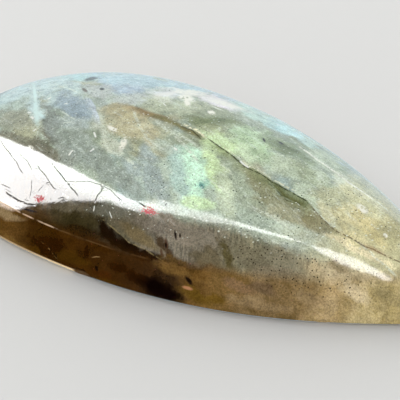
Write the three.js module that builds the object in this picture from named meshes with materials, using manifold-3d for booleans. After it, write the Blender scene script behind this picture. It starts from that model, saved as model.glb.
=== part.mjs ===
// Labradorite teardrop cabochon: one polished stone with a flat back.
// Millimetres, +Z up. The origin is under the middle of the stone, on its flat back.
// The tip points along +X and the round end along -X.
import * as THREE from 'three';
import { mergeVertices } from 'three/addons/utils/BufferGeometryUtils.js';
import Module from 'manifold-3d';

const wasm = await Module();
wasm.setup();

// Driving dimensions
const LENGTH = 40;
const WIDTH = 23;
const HEIGHT = 7;

// Teardrop outline, seen from above
const WIDEST_X = -0.12 * LENGTH;
const TIP_RADIUS = 0.7;
const TIP_HALF_ANGLE = THREE.MathUtils.degToRad(42);
const TIP_HANDLE = 0.1975 * LENGTH;
const FRONT_HANDLE = 0.3075 * LENGTH;
const BACK_HANDLE = 0.2275 * LENGTH;
const ROUND_HANDLE = 0.18 * LENGTH;
const OUTLINE_STEPS = 128;

// Section, from the flat back up to the crown of the dome
const BACK_BEVEL = 0.3;
const GIRDLE_HEIGHT = 2.2;
const GIRDLE_LEAN = 0.06;
const DOME_START = THREE.MathUtils.degToRad(22);
const DOME_STEPS = 15;
const GIRDLE_STEPS = 2;
const CROWN_X = -2.5;
const CROWN_ROUNDING = 5;

// Small chips knocked out of the edges. Each is placed by its share of the way round the
// outline, counter-clockwise from the tip, and by its height, and has a length, a depth and a tilt.
const CHIPS = [
  { name: 'back edge', share: 0.7605, height: 0.1, length: 1.5, depth: 0.34, tilt: 0.35 },
  { name: 'back edge by the tip', share: 0.9045, height: 0.08, length: 0.9, depth: 0.26, tilt: -0.3 },
  { name: 'far crease', share: 0.1115, height: 2.3, length: 1, depth: 0.22, tilt: 0.2 },
  { name: 'round end', share: 0.455, height: 0.1, length: 1.2, depth: 0.3, tilt: 0.25 },
];
const CHIP_RISE = 1.3;

// The teardrop as one closed path that runs from the tip round to the tip again
function outlinePath() {
  const tipCentre = LENGTH / 2 - TIP_RADIUS;
  const tangentX = tipCentre + TIP_RADIUS * Math.sin(TIP_HALF_ANGLE);
  const tangentY = TIP_RADIUS * Math.cos(TIP_HALF_ANGLE);
  const handleX = tangentX - TIP_HANDLE * Math.cos(TIP_HALF_ANGLE);
  const handleY = tangentY + TIP_HANDLE * Math.sin(TIP_HALF_ANGLE);
  const arc = Math.PI / 2 - TIP_HALF_ANGLE;
  const side = WIDTH / 2;
  const back = -LENGTH / 2;

  const path = new THREE.Path();
  path.absarc(tipCentre, 0, TIP_RADIUS, 0, arc, false);
  path.bezierCurveTo(handleX, handleY, WIDEST_X + FRONT_HANDLE, side, WIDEST_X, side);
  path.bezierCurveTo(WIDEST_X - BACK_HANDLE, side, back, ROUND_HANDLE, back, 0);
  path.bezierCurveTo(back, -ROUND_HANDLE, WIDEST_X - BACK_HANDLE, -side, WIDEST_X, -side);
  path.bezierCurveTo(WIDEST_X + FRONT_HANDLE, -side, handleX, -handleY, tangentX, -tangentY);
  path.absarc(tipCentre, 0, TIP_RADIUS, -arc, 0, false);
  return path;
}

// The section as (share of the outline, height), from the middle of the back to the crown
function sectionProfile() {
  const bevelShare = BACK_BEVEL / (WIDTH / 2);
  const points = [new THREE.Vector2(0, 0), new THREE.Vector2(1 - bevelShare, 0)];
  for (let step = 0; step < GIRDLE_STEPS; step += 1) {
    const rise = step / GIRDLE_STEPS;
    const height = BACK_BEVEL + (GIRDLE_HEIGHT - BACK_BEVEL) * rise;
    points.push(new THREE.Vector2(1 - GIRDLE_LEAN * rise, height));
  }
  const startCos = Math.cos(DOME_START);
  const startSin = Math.sin(DOME_START);
  for (let step = 0; step < DOME_STEPS; step += 1) {
    const angle = DOME_START + (Math.PI / 2 - DOME_START) * (step / DOME_STEPS);
    const share = (1 - GIRDLE_LEAN) * Math.cos(angle) / startCos;
    const rise = (Math.sin(angle) - startSin) / (1 - startSin);
    points.push(new THREE.Vector2(share, GIRDLE_HEIGHT + (HEIGHT - GIRDLE_HEIGHT) * rise));
  }
  points.push(new THREE.Vector2(0, HEIGHT));
  return points;
}

// The outline with its tip rounded off: each point is the mean of its neighbours on both sides
function roundedOff(outline) {
  const spacing = outlinePath().getLength() / OUTLINE_STEPS;
  const reach = Math.round(CROWN_ROUNDING / spacing);
  return outline.map((_, index) => {
    const mean = new THREE.Vector2();
    for (let offset = -reach; offset <= reach; offset += 1) {
      mean.add(outline[(index + offset + OUTLINE_STEPS) % OUTLINE_STEPS]);
    }
    return mean.divideScalar(2 * reach + 1);
  });
}

// A round dome is turned on a lathe, then each of its circles is drawn out to the teardrop.
// The circles near the crown take the rounded-off outline, so no ridge runs up from the tip.
function teardropDome() {
  const outline = outlinePath().getSpacedPoints(OUTLINE_STEPS).slice(0, OUTLINE_STEPS);
  const rounded = roundedOff(outline);
  const geometry = new THREE.LatheGeometry(sectionProfile(), OUTLINE_STEPS);
  const position = geometry.attributes.position;
  for (let i = 0; i < position.count; i += 1) {
    const across = position.getX(i);
    const height = position.getY(i);
    const along = position.getZ(i);
    const share = Math.hypot(across, along);
    const turn = (Math.atan2(across, along) / (2 * Math.PI) + 1) % 1;
    const step = Math.round(turn * OUTLINE_STEPS) % OUTLINE_STEPS;
    const rim = outline[step].clone().lerp(rounded[step], 1 - share);
    position.setXYZ(i, CROWN_X + (rim.x - CROWN_X) * share, rim.y * share, height);
  }
  return geometry;
}

// A closed geometry as a solid that can be cut
function toSolid(geometry) {
  const bare = geometry.clone();
  bare.deleteAttribute('normal');
  bare.deleteAttribute('uv');
  const merged = mergeVertices(bare);
  return new wasm.Manifold(new wasm.Mesh({
    numProp: 3,
    vertProperties: merged.attributes.position.array,
    triVerts: new Uint32Array(merged.index.array),
  }));
}

function toGeometry(solid) {
  const mesh = solid.getMesh();
  const geometry = new THREE.BufferGeometry();
  geometry.setAttribute('position', new THREE.BufferAttribute(new Float32Array(mesh.vertProperties), 3));
  geometry.setIndex(new THREE.BufferAttribute(new Uint32Array(mesh.triVerts), 1));
  geometry.computeVertexNormals();
  return geometry;
}

// The lump of stone that one chip takes away: half of it lies outside the edge
function chipLump(chip) {
  const path = outlinePath();
  const edge = path.getPointAt(chip.share);
  const along = path.getTangentAt(chip.share);
  const lean = chip.height > BACK_BEVEL ? GIRDLE_LEAN : 0;
  const lump = new THREE.IcosahedronGeometry(1, 1);
  lump.scale(chip.length / 2, chip.depth, chip.depth * CHIP_RISE);
  lump.rotateY(chip.tilt);
  lump.rotateZ(Math.atan2(along.y, along.x));
  lump.translate(CROWN_X + (edge.x - CROWN_X) * (1 - lean), edge.y * (1 - lean), chip.height);
  return toSolid(lump);
}

function cabochon() {
  let stone = toSolid(teardropDome());
  for (const chip of CHIPS) {
    stone = stone.subtract(chipLump(chip));
  }
  const material = new THREE.MeshStandardMaterial({ color: 0x8f9a84, roughness: 0.12, metalness: 0 });
  const mesh = new THREE.Mesh(toGeometry(stone), material);
  mesh.name = 'cabochon';
  return mesh;
}

const model = new THREE.Group();
model.name = 'labradorite_teardrop';
model.add(cabochon());

export default model;
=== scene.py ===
# A labradorite teardrop cabochon: the polished stone, the pale floor under it, the lights and the camera.
import math

import bpy
import numpy as np
from mathutils import Matrix, Vector
from mathutils.bvhtree import BVHTree


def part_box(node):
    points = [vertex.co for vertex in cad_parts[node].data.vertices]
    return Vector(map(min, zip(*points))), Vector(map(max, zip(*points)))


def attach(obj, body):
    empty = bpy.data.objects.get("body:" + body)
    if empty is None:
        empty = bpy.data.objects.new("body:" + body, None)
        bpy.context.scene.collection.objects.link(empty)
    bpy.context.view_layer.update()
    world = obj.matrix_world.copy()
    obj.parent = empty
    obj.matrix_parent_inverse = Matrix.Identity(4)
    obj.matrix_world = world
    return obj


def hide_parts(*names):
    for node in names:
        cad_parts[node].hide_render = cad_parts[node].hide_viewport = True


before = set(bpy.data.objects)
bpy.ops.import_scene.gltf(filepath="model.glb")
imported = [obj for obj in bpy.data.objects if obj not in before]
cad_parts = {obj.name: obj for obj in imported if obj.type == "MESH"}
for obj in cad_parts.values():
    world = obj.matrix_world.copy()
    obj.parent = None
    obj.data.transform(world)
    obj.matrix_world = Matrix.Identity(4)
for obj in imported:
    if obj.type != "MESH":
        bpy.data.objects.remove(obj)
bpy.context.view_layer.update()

MM = 0.001

# The stone's sizes, from the frame
LOW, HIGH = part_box("cabochon")
LENGTH = HIGH.x - LOW.x
WIDTH = HIGH.y - LOW.y
HEIGHT = HIGH.z - LOW.z

# Teardrop outline, seen from above, with the tip along +X
WIDEST_X = -0.12 * LENGTH
TIP_RADIUS = 0.7 * MM
TIP_HALF_ANGLE = math.radians(42)
TIP_HANDLE = 0.1975 * LENGTH
FRONT_HANDLE = 0.3075 * LENGTH
BACK_HANDLE = 0.2275 * LENGTH
ROUND_HANDLE = 0.18 * LENGTH
CURVE_STEPS = 600
OUTLINE_STEPS = 560

# Section, from the flat back up to the crown of the dome
BACK_BEVEL = 0.3 * MM
GIRDLE_HEIGHT = 2.2 * MM
GIRDLE_LEAN = 0.06
DOME_START = math.radians(22)
DOME_STEPS = 400
CROWN_X = -2.5 * MM
CROWN_ROUNDING = 5 * MM

# How far the section's corners are worn round: crisp at the round end, soft near the tip
SECTION_GRAIN = 0.01 * MM
CRISP_REACH = 0.1 * MM
SOFT_REACH = 1.1 * MM
CREASE_CRISP_X = 2 * MM
CREASE_SOFT_X = 10 * MM
RING_GAP = 0.118 * MM
CORNER_RING_GAP = 0.04 * MM

# The camera, as it stood for the photograph
CAMERA_TURN = math.radians(31.735)
CAMERA_RISE = math.radians(29)
CAMERA_TILT = math.radians(5.133)
CAMERA_DISTANCE = 64.915 * MM
CAMERA_TARGET = Vector((-0.436, 1.356, 0)) * MM
FIELD_OF_VIEW = math.radians(24)
PHOTO_SIZE = 400


def camera_axes():
    """The camera's right, up and backward directions, and its place."""
    back = Vector((
        math.sin(CAMERA_TURN) * math.cos(CAMERA_RISE),
        -math.cos(CAMERA_TURN) * math.cos(CAMERA_RISE),
        math.sin(CAMERA_RISE),
    ))
    right = Vector((math.cos(CAMERA_TURN), math.sin(CAMERA_TURN), 0))
    up = back.cross(right)
    tilted_right = right * math.cos(CAMERA_TILT) + up * math.sin(CAMERA_TILT)
    tilted_up = up * math.cos(CAMERA_TILT) - right * math.sin(CAMERA_TILT)
    return tilted_right, tilted_up, back, CAMERA_TARGET + back * CAMERA_DISTANCE


def place_camera():
    right, up, back, place = camera_axes()
    bpy.ops.object.camera_add()
    camera = bpy.context.object
    camera.data.angle = FIELD_OF_VIEW
    camera.data.clip_start = 1 * MM
    turn = Matrix((right, up, back)).transposed().to_4x4()
    camera.matrix_world = Matrix.Translation(place) @ turn
    bpy.context.scene.camera = camera


place_camera()


# The stone's outline and section
def bezier(start, handle_a, handle_b, end, count):
    t = np.linspace(0, 1, count)[:, None]
    start, handle_a, handle_b, end = map(np.array, (start, handle_a, handle_b, end))
    near_start = (1 - t) ** 3 * start + 3 * (1 - t) ** 2 * t * handle_a
    return near_start + 3 * (1 - t) * t ** 2 * handle_b + t ** 3 * end


def travelled(points):
    """How far each point of a chain is from its first, along the chain."""
    return np.r_[0, np.cumsum(np.linalg.norm(np.diff(points, axis=0), axis=1))]


def points_along(points, stops):
    distance = travelled(points)
    return np.c_[np.interp(stops, distance, points[:, 0]), np.interp(stops, distance, points[:, 1])]


def teardrop_outline():
    """The teardrop as evenly spaced points, counter-clockwise from the tip, and its length round."""
    tip_centre = LENGTH / 2 - TIP_RADIUS
    arc = np.linspace(0, math.pi / 2 - TIP_HALF_ANGLE, CURVE_STEPS // 10)
    tip = np.c_[tip_centre + TIP_RADIUS * np.cos(arc), TIP_RADIUS * np.sin(arc)]
    handle = tip[-1] + TIP_HANDLE * np.array((-math.cos(TIP_HALF_ANGLE), math.sin(TIP_HALF_ANGLE)))
    widest = np.array((WIDEST_X, WIDTH / 2))
    round_end = np.array((-LENGTH / 2, 0))
    front = bezier(tip[-1], handle, widest + (FRONT_HANDLE, 0), widest, CURVE_STEPS)
    back = bezier(widest, widest - (BACK_HANDLE, 0), round_end + (0, ROUND_HANDLE), round_end, CURVE_STEPS)
    half = np.vstack((tip, front[1:], back[1:]))
    whole = np.vstack((half, half[::-1][1:] * (1, -1)))
    length_round = travelled(whole)[-1]
    return points_along(whole, np.linspace(0, length_round, OUTLINE_STEPS + 1)[:-1]), length_round


def rounded_off(points, length_round):
    """The outline with its tip rounded off, each point the mean of its neighbours on both sides."""
    reach = round(CROWN_ROUNDING / (length_round / OUTLINE_STEPS))
    shifted = [np.roll(points, offset, axis=0) for offset in range(-reach, reach + 1)]
    return np.mean(shifted, axis=0)


def sharp_section():
    """The section as (radius, height), from the middle of the back to the crown, with sharp corners."""
    radius = WIDTH / 2
    corners = [(0, 0), (radius - BACK_BEVEL, 0), (radius, BACK_BEVEL)]
    angle = np.linspace(DOME_START, math.pi / 2, DOME_STEPS)
    share = (1 - GIRDLE_LEAN) * np.cos(angle) / math.cos(DOME_START)
    rise = (np.sin(angle) - math.sin(DOME_START)) / (1 - math.sin(DOME_START))
    dome = np.c_[radius * share, GIRDLE_HEIGHT + (HEIGHT - GIRDLE_HEIGHT) * rise]
    return np.vstack((corners, dome))


def ring_stops(section):
    """Where the rings lie along the section, closer together at its corners."""
    back_edge, bevel_top, crease = travelled(section)[1:4]
    crown = travelled(section)[-1]
    stretches = [
        (0, back_edge - 2 * CRISP_REACH, back_edge),
        (back_edge - CRISP_REACH, bevel_top + CRISP_REACH, CORNER_RING_GAP),
        (bevel_top + 2 * CRISP_REACH, crease - 2 * CRISP_REACH, RING_GAP),
        (crease - CRISP_REACH, crease + CRISP_REACH, CORNER_RING_GAP),
        (crease + 2 * CRISP_REACH, crown, RING_GAP),
    ]
    return np.concatenate([
        np.linspace(start, end, max(2, round((end - start) / gap) + 1)) for start, end, gap in stretches
    ])


def worn(points, reach):
    """An evenly spaced chain with each point moved to the mean of its neighbours, as far as its reach."""
    index = np.arange(len(points))
    reach = np.minimum(reach, np.minimum(index, index[::-1])).astype(int)
    sums = np.vstack(((0, 0), np.cumsum(points, axis=0)))
    return (sums[index + reach + 1] - sums[index - reach]) / (2 * reach + 1)[:, None]


def worn_sections():
    """The rings of the section twice: with its corners just worn, and with its crease worn away."""
    section = sharp_section()
    stops = ring_stops(section)
    even = np.arange(0, travelled(section)[-1], SECTION_GRAIN)
    fine = points_along(section, even)
    fine[-1] = section[-1]
    bevel_top = travelled(section)[2]
    crisp_reach = np.full(len(fine), CRISP_REACH / SECTION_GRAIN)
    soft_reach = np.clip((even - bevel_top) / SECTION_GRAIN - 2, crisp_reach, SOFT_REACH / SECTION_GRAIN)
    sections = []
    for reach in (crisp_reach, soft_reach):
        rounded = worn(fine, reach)
        sections.append(np.c_[np.interp(stops, even, rounded[:, 0]), np.interp(stops, even, rounded[:, 1])])
    return sections


def smooth_step(low, high, value):
    share = np.clip((value - low) / (high - low), 0, 1)
    return share * share * (3 - 2 * share)


# The stone's mesh
def only(piece):
    """Selects one object and makes it the active one."""
    bpy.ops.object.select_all(action="DESELECT")
    piece.select_set(True)
    bpy.context.view_layer.objects.active = piece


def turned_dome(section):
    """A round cabochon: its section is drawn as a chain of edges and turned about the crown's axis."""
    bpy.ops.object.select_all(action="DESELECT")
    bpy.ops.mesh.primitive_plane_add(size=MM)
    stone = bpy.context.object
    stone.name = stone.data.name = "polished_stone"
    bpy.ops.object.mode_set(mode="EDIT")
    bpy.ops.mesh.merge(type="CENTER")
    for (radius, height), (next_radius, next_height) in zip(section, section[1:]):
        step = (next_radius - radius, 0, next_height - height)
        bpy.ops.mesh.extrude_region_move(TRANSFORM_OT_translate={"value": step})
    bpy.ops.object.mode_set(mode="OBJECT")
    turning = stone.modifiers.new("turning", "SCREW")
    turning.steps = turning.render_steps = OUTLINE_STEPS
    turning.use_merge_vertices = True
    turning.merge_threshold = 0.001 * MM
    bpy.ops.object.modifier_apply(modifier="turning")
    bpy.ops.object.mode_set(mode="EDIT")
    bpy.ops.mesh.select_all(action="SELECT")
    bpy.ops.mesh.remove_doubles(threshold=0.001 * MM)
    bpy.ops.mesh.normals_make_consistent(inside=False)
    bpy.ops.object.mode_set(mode="OBJECT")
    return stone


def places(piece):
    found = np.empty(len(piece.data.vertices) * 3)
    piece.data.vertices.foreach_get("co", found)
    return found.reshape(-1, 3)


def set_places(piece, found):
    piece.data.vertices.foreach_set("co", found.ravel())
    piece.data.update()


def draw_out(stone, crisp, soft):
    """Draws each circle out to the teardrop, and to its rounded form near the crown, and wears the crease."""
    outline, length_round = teardrop_outline()
    rounded = rounded_off(outline, length_round)
    found = places(stone)
    radius = np.hypot(found[:, 0], found[:, 1])
    turn = np.arctan2(found[:, 1], found[:, 0]) / (2 * math.pi) % 1
    step = np.rint(turn * OUTLINE_STEPS).astype(int) % OUTLINE_STEPS
    softness = smooth_step(CREASE_CRISP_X, CREASE_SOFT_X, outline[step][:, 0])
    on_side = found[:, 2] > BACK_BEVEL
    change = soft - crisp
    height = found[:, 2].copy()
    radius = radius + on_side * softness * np.interp(height, crisp[:, 1], change[:, 0])
    found[:, 2] = height + on_side * softness * np.interp(height, crisp[:, 1], change[:, 1])
    share = radius / (WIDTH / 2)
    rim = outline[step] * share[:, None] + rounded[step] * (1 - share[:, None])
    found[:, 0] = CROWN_X + (rim[:, 0] - CROWN_X) * share
    found[:, 1] = rim[:, 1] * share
    set_places(stone, found)


def unevenness(stone, name, spread, depth):
    """The slight waviness of a surface polished by hand, sunk into the dome and the girdle."""
    texture = bpy.data.textures.new(name, type="CLOUDS")
    texture.noise_scale = spread
    texture.noise_depth = 1
    only(stone)
    modifier = stone.modifiers.new(name, "DISPLACE")
    modifier.texture = texture
    modifier.texture_coords = "LOCAL"
    modifier.vertex_group = "polished"
    modifier.mid_level = 1
    modifier.strength = depth
    bpy.ops.object.modifier_apply(modifier=name)


def polish_by_hand(stone):
    """Groups the vertices above the back's edge, and gives them the waviness."""
    group = stone.vertex_groups.new(name="polished")
    height = places(stone)[:, 2]
    for weight in (0.25, 0.5, 0.75, 1):
        low = BACK_BEVEL + (weight - 0.25) * MM
        high = BACK_BEVEL + weight * MM if weight < 1 else HEIGHT * 2
        chosen = np.flatnonzero((height > low) & (height <= high))
        group.add(chosen.tolist(), weight, "REPLACE")
    unevenness(stone, "broad_waves", 4.5 * MM, 0.035 * MM)
    unevenness(stone, "small_waves", 1.3 * MM, 0.006 * MM)


# Chips: share of the way round the outline from the tip, height, length, depth, tilt
CHIPS = {
    "back_edge": (0.7605, 0.1, 1.5, 0.34, 0.35),
    "back_edge_by_the_tip": (0.9045, 0.08, 0.9, 0.26, -0.3),
    "far_crease": (0.1115, 2.3, 1, 0.22, 0.2),
    "round_end": (0.455, 0.1, 1.2, 0.3, 0.25),
    "nick_beside_the_chip": (0.7475, 0.02, 0.5, 0.16, -0.4),
    "nick_near_the_tip": (0.8935, 0.05, 0.35, 0.14, 0.2),
    "nick_far_side": (0.2, 0.05, 0.6, 0.16, 0.3),
    "nick_far_crease": (0.098, 2.25, 0.45, 0.13, -0.2),
    "nick_round_end": (0.51, 0.03, 0.5, 0.15, 0.1),
}
CHIP_RISE = 1.3


def chip_lump(name, share, height, length, depth, tilt):
    """The lump that one chip takes away, with half of it outside the edge."""
    outline = teardrop_outline()[0]
    step = round(share * OUTLINE_STEPS)
    along = outline[(step + 1) % OUTLINE_STEPS] - outline[step - 1]
    lean = GIRDLE_LEAN if height * MM > BACK_BEVEL else 0
    edge = outline[step] * (1 - lean) + np.array((CROWN_X, 0)) * lean
    bpy.ops.object.select_all(action="DESELECT")
    bpy.ops.mesh.primitive_ico_sphere_add(subdivisions=4, radius=MM)
    lump = bpy.context.object
    lump.name = name
    texture = bpy.data.textures.new(name, type="CLOUDS")
    texture.noise_scale = 0.6 * MM
    roughen = lump.modifiers.new("roughen", "DISPLACE")
    roughen.texture = texture
    roughen.texture_coords = "LOCAL"
    roughen.strength = 0.3 * MM
    bpy.ops.object.modifier_apply(modifier="roughen")
    lump.scale = (length / 2, depth, depth * CHIP_RISE)
    lump.rotation_euler = (0, tilt, math.atan2(along[1], along[0]))
    lump.location = (edge[0], edge[1], height * MM)
    bpy.ops.object.transform_apply(location=True, rotation=True, scale=True)
    return lump


def knock_out_chips(stone):
    lumps = [chip_lump(name, *sizes) for name, sizes in CHIPS.items()]
    bpy.ops.object.select_all(action="DESELECT")
    for lump in lumps:
        lump.select_set(True)
    bpy.context.view_layer.objects.active = lumps[0]
    bpy.ops.object.join()
    only(stone)
    cut = stone.modifiers.new("chips", "BOOLEAN")
    cut.operation = "DIFFERENCE"
    cut.solver = "EXACT"
    cut.object = lumps[0]
    bpy.ops.object.modifier_apply(modifier="chips")
    bpy.data.objects.remove(lumps[0])


def make_stone():
    crisp, soft = worn_sections()
    stone = turned_dome(crisp)
    draw_out(stone, crisp, soft)
    polish_by_hand(stone)
    knock_out_chips(stone)
    only(stone)
    bpy.ops.object.shade_smooth_by_angle(angle=math.radians(25))
    return stone


stone = make_stone()


# Places on the finished stone, found from pixels of the photograph
def surface_of(piece):
    mesh = piece.data
    mesh.calc_loop_triangles()
    triangles = [tuple(triangle.vertices) for triangle in mesh.loop_triangles]
    return BVHTree.FromPolygons([vertex.co.copy() for vertex in mesh.vertices], triangles)


SURFACE = surface_of(stone)


def on_stone(across, down):
    """The place on the stone, and the way it faces, that the camera sees at a pixel of the photograph."""
    right, up, back, eye = camera_axes()
    half = math.tan(FIELD_OF_VIEW / 2)
    middle = PHOTO_SIZE / 2
    ray = -back + right * ((across - middle) / middle * half) + up * ((middle - down) / middle * half)
    place, facing, _, _ = SURFACE.ray_cast(eye, ray.normalized())
    if place is None:
        raise ValueError(f"the stone isn't at pixel {across}, {down}")
    return place, facing


def from_above(x, y):
    """The place on the stone, and the way it faces, right under a point of the plan in millimetres."""
    place, facing, _, _ = SURFACE.ray_cast(Vector((x, y, 20)) * MM, Vector((0, 0, -1)))
    if place is None:
        raise ValueError(f"the stone isn't under {x}, {y}")
    return place, facing


# Lines that cross the stone, in pixels of the photograph
ROUTES = {
    "brown_vein": [(112, 106), (126, 106), (139, 109.5), (145, 112), (155, 115), (165, 118), (176, 119),
                   (187, 121)],
    "lower_limb": [(143, 112), (155, 115.5), (165, 119.5), (176, 124), (185, 129), (195, 134), (203, 140),
                   (209, 144)],
    "vein_crack": [(181, 123), (185, 125), (195, 129), (203, 136.5), (207, 139)],
    "olive_band": [(180, 119.5), (193, 121.5), (205, 121.5), (219, 119.5), (233, 121.5), (250, 128)],
    "cleavage_olive": [(206, 137), (219, 146), (240, 162), (261, 174), (289, 191), (305, 200), (321, 217)],
    "cleavage": [(206, 137), (219, 146), (240, 162), (247, 168), (261, 174), (271, 181), (289, 191),
                 (305, 200), (310, 206)],
    "cleavage_end": [(308, 203), (321, 218), (338, 232), (353, 239), (362, 245), (379, 252), (400, 262),
                     (418, 272)],
    "cleavage_branch": [(268, 179), (284, 196), (296, 202), (312, 211)],
    "upper_seam": [(238, 121), (250, 128), (262, 137)],
    "upper_crack": [(270, 137), (281, 144), (290, 149.5), (300, 152), (311, 159)],
    "upper_line": [(297, 144), (300, 147), (310, 154), (320, 161.5), (335, 172), (350, 183.5), (366, 194),
                   (378, 203)],
    "crown_line": [(210, 105), (218, 109), (226, 112)],
    "wedge_edge": [(261, 177), (271, 185), (279, 193), (286, 200), (297, 204), (306, 209)],
    "lower_cleavage": [(95, 213), (99, 218), (110, 227), (121, 236), (128, 243), (144, 250), (159, 260),
                       (168, 266)],
    "girdle_hairline": [(33, 236), (47, 246), (55, 257), (64, 266)],
    "girdle_dash": [(91, 257.5), (96, 256.5), (101, 257)],
    "oval_edge": [(85, 95), (91, 101), (94, 107), (98, 118), (102, 127)],
}
# Thin lines of three kinds, each with half its width in mm and its course in pixels of the photograph
LINES = {
    "crack": [
        (0.07, [(5, 191.6), (12, 197), (20, 201.5), (27, 204), (36, 205.5)]),
        (0.05, [(101, 187), (102, 191), (97, 195.5), (95, 202), (94.5, 203.5)]),
        (0.036, [(51, 162), (56, 169), (61, 175), (70, 186.5), (75, 191), (79, 197)]),
        (0.028, [(0, 139), (4, 146), (8, 151), (16.6, 162), (20, 169), (24, 174)]),
        (0.022, [(19, 153), (27, 161), (33, 170)]),
        (0.026, [(37, 163.5), (41, 170), (44.6, 174), (51, 184), (54, 188), (59, 190)]),
        (0.02, [(32, 179), (31.3, 190), (29.3, 199)]),
        (0.022, [(68, 181.4), (89, 181.4), (101, 185), (111, 190), (119, 199)]),
        (0.05, [(137.8, 202), (143, 205), (147, 208)]),
        (0.022, [(0, 184), (6.4, 186), (11.5, 189)]),
        (0.06, [(58, 199), (62, 197.8), (66, 198.4)]),
        (0.05, [(60, 202), (64, 200.6), (68, 200)]),
        (0.035, [(51, 198), (51.7, 202)]),
        (0.022, [(44.6, 184), (41, 188), (37, 193)]),
        (0.03, [(181, 209.4), (183.7, 213.3)]),
        (0.02, [(111, 190.3), (117, 196), (122.4, 201)]),
    ],
    "pale_thread": [
        (0.12, [(102, 131), (108, 149), (111, 155)]),
        (0.16, [(133, 109), (136, 118), (141, 128), (147, 138), (155.6, 144), (166, 152)]),
        (0.2, [(153, 118), (164.5, 128), (178.6, 139), (190, 152), (200, 164)]),
        (0.16, [(172, 128), (183.7, 137), (199, 147)]),
        (0.2, [(118, 150), (124, 156), (131, 162), (138, 171)]),
        (0.11, [(58.7, 86), (71, 89.5), (81.6, 94.6)]),
        (0.09, [(57, 109), (69, 116), (76.5, 121)]),
        (0.09, [(58.7, 122.7), (67, 122.4), (75, 123.3)]),
        (0.08, [(38.3, 126.5), (37, 134), (35.7, 141.8)]),
        (0.1, [(216, 160), (226, 168), (236, 178)]),
        (0.09, [(205, 176), (222, 188), (232, 199)]),
        (0.09, [(248, 204), (262, 211.5), (277, 221), (292, 230.5)]),
        (0.08, [(268, 212), (281, 220), (298, 235)]),
        (0.07, [(276, 214), (287, 221), (299, 231)]),
        (0.1, [(311, 209), (321, 217), (331, 225), (341, 232)]),
        (0.12, [(353, 239), (364.5, 247), (378.6, 260), (391.3, 271), (399, 279)]),
        (0.1, [(366, 195), (378.6, 202.4), (391.3, 214)]),
        (0.05, [(256, 233), (262, 239), (268, 245)]),
        (0.05, [(262, 233), (269, 240), (275, 246)]),
        (0.05, [(270, 236), (277, 243), (283, 247)]),
        (0.05, [(278, 238), (285, 245), (291, 248)]),
        (0.05, [(286, 242), (293, 248), (299, 251)]),
    ],
    "white_stroke": [
        (0.12, [(47, 99.7), (51.7, 97.2)]),
        (0.13, [(63.8, 104.2), (68.2, 103)]),
        (0.1, [(32.5, 131.6), (37, 128.4)]),
        (0.1, [(68, 156), (73.3, 149.5)]),
        (0.09, [(93.8, 131.6), (95.7, 138)]),
        (0.09, [(89.3, 152), (95, 148.2)]),
        (0.09, [(173.5, 147), (177.3, 150.8)]),
        (0.12, [(26.8, 112.5), (31.9, 112.5)]),
        (0.12, [(30.6, 116.3), (33.8, 119)]),
        (0.1, [(239.5, 160.4), (244, 164.5), (249.7, 168)]),
        (0.04, [(297, 203), (300, 206)]),
        # Painted highlight: the next stroke is a scratch below the mirrored highlight, painted white as if
        # lit
        (0.05, [(94.6, 205), (93.6, 212)]),
        (0.04, [(109, 211), (112, 219)]),
        (0.07, [(276, 187), (278, 188)]),
        (0.06, [(163, 103), (166, 106)]),
        (0.05, [(214, 107), (222, 110)]),
    ],
}
# Lines on the far side, which the photograph doesn't show, as x and y in millimetres
FAR_ROUTES = {
    "far_cleavage": [(-15, 2.5), (-11, 5), (-6, 7.2), (-1, 8), (4, 7.2), (8, 6.4)],
    "far_seam": [(-9, 9.2), (-5, 8.4), (0, 9.4), (3, 9)],
    "far_thread": [(-17, -1), (-15.5, 3), (-12.5, 6.5)],
}


def nearest_on_route(points, route, facings):
    """For each point, how far along the route its nearest place is, how far left of it, and how far away."""
    best = np.full(len(points), np.inf)
    along = np.zeros(len(points))
    aside = np.zeros(len(points))
    start_of = travelled(route)
    last = len(route) - 2
    for index in range(last + 1):
        step = route[index + 1] - route[index]
        length = np.linalg.norm(step)
        tangent = step / length
        left = np.cross(facings[index] + facings[index + 1], tangent)
        left /= np.linalg.norm(left)
        offset = points - route[index]
        share = offset @ tangent
        low = -np.inf if index == 0 else 0
        high = np.inf if index == last else length
        held = np.clip(share, low, high)
        gap = np.linalg.norm(offset - held[:, None] * tangent, axis=1)
        inside = np.linalg.norm(offset - np.clip(share, 0, length)[:, None] * tangent, axis=1)
        closer = inside < best
        best[closer] = inside[closer]
        along[closer] = start_of[index] + held[closer]
        aside[closer] = (gap * np.sign(offset @ left))[closer]
    return along, aside, best


def store(name, numbers):
    """Keeps one number for each vertex of the stone, for its finish to read."""
    attribute = stone.data.attributes.new(name, "FLOAT", "POINT")
    attribute.data.foreach_set("value", numbers)


def beside(found):
    """Each vertex's place along a line, beside it and away from it, and the line's length, in mm."""
    route = np.array([place for place, _ in found]) / MM
    facings = np.array([facing for _, facing in found])
    return *nearest_on_route(places(stone) / MM, route, facings), travelled(route)[-1]


def lay_route(name, found):
    along, aside, _, length = beside(found)
    store(name + "_along", along)
    store(name + "_aside", aside)
    return length


def lay_lines(group, lines):
    """Stores how each vertex lies to the nearest line of a group, and half that line's width."""
    count = len(stone.data.vertices)
    nearest = np.full(count, np.inf)
    aside, from_end, width = (np.zeros(count) for _ in range(3))
    for half_width, pixels in lines:
        along, next_to, gap, length = beside([on_stone(*pixel) for pixel in pixels])
        closer = gap < nearest
        nearest[closer] = gap[closer]
        aside[closer] = next_to[closer]
        from_end[closer] = np.minimum(along, length - along)[closer]
        width[closer] = half_width
    store(group + "_aside", aside)
    store(group + "_gap", nearest)
    store(group + "_from_end", from_end)
    store(group + "_width", width)


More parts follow.
